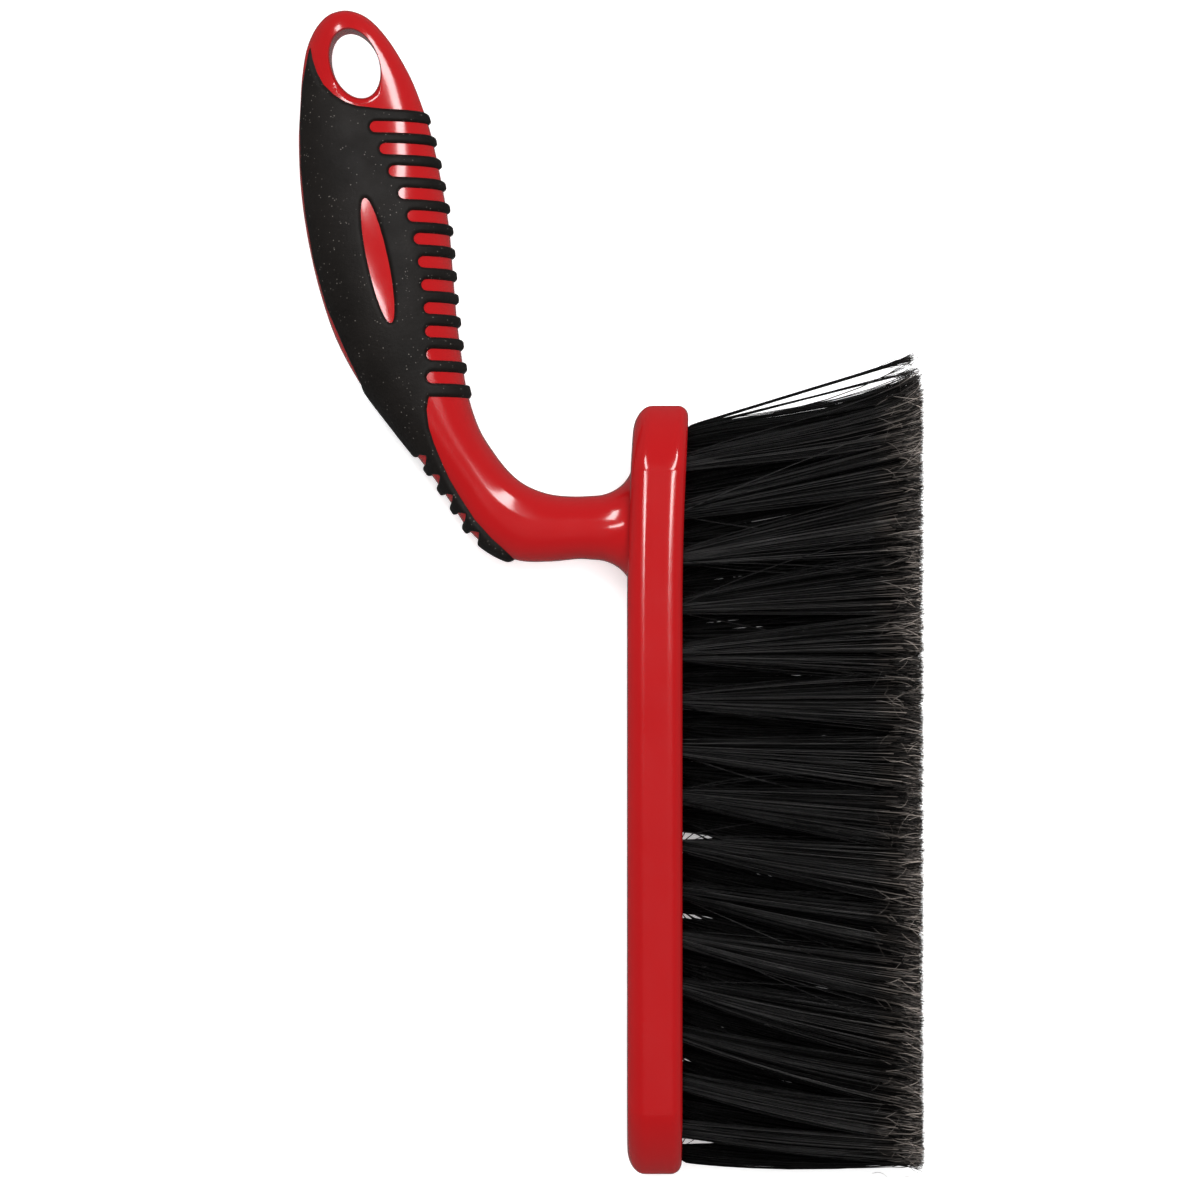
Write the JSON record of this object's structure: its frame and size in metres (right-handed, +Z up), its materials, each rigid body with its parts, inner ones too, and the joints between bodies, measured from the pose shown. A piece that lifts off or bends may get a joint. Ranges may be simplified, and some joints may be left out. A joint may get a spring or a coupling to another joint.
{
  "type": "bench dust brush",
  "caption": "Hand dust brush: a long narrow block with rows of long soft bristle tufts and an offset curved handle with a ribbed rubber grip and a hanging loop.",
  "frame": {"origin": "middle of the block's lower side face, where the brush lies on it", "axes": "+X the way the bristles point, +Y along the block towards the hanging loop, +Z up out of the face it lies on"},
  "size_m": [0.1769, 0.331, 0.03],
  "materials": {
    "red_plastic": "glossy injection-moulded polypropylene",
    "black_rubber": "matt soft rubber overmould",
    "black_bristle": "soft synthetic filament, split at the tips"
  },
  "bodies": {
    "root": {"body": "red_plastic", "grip": "black_rubber", "tuft_front_01": "black_bristle", "tuft_front_02": "black_bristle", "tuft_front_03": "black_bristle", "tuft_front_04": "black_bristle", "tuft_front_05": "black_bristle", "tuft_front_06": "black_bristle", "tuft_front_07": "black_bristle", "tuft_front_08": "black_bristle", "tuft_front_09": "black_bristle", "tuft_front_10": "black_bristle", "tuft_front_11": "black_bristle", "tuft_front_12": "black_bristle", "tuft_front_13": "black_bristle", "tuft_front_14": "black_bristle", "tuft_front_15": "black_bristle", "tuft_middle_01": "black_bristle", "tuft_middle_02": "black_bristle", "tuft_middle_03": "black_bristle", "tuft_middle_04": "black_bristle", "tuft_middle_05": "black_bristle", "tuft_middle_06": "black_bristle", "tuft_middle_07": "black_bristle", "tuft_middle_08": "black_bristle", "tuft_middle_09": "black_bristle", "tuft_middle_10": "black_bristle", "tuft_middle_11": "black_bristle", "tuft_middle_12": "black_bristle", "tuft_middle_13": "black_bristle", "tuft_middle_14": "black_bristle", "tuft_middle_15": "black_bristle", "tuft_middle_16": "black_bristle", "tuft_back_01": "black_bristle", "tuft_back_02": "black_bristle", "tuft_back_03": "black_bristle", "tuft_back_04": "black_bristle", "tuft_back_05": "black_bristle", "tuft_back_06": "black_bristle", "tuft_back_07": "black_bristle", "tuft_back_08": "black_bristle", "tuft_back_09": "black_bristle", "tuft_back_10": "black_bristle", "tuft_back_11": "black_bristle", "tuft_back_12": "black_bristle", "tuft_back_13": "black_bristle", "tuft_back_14": "black_bristle", "tuft_back_15": "black_bristle"}
  },
  "joints": []
}
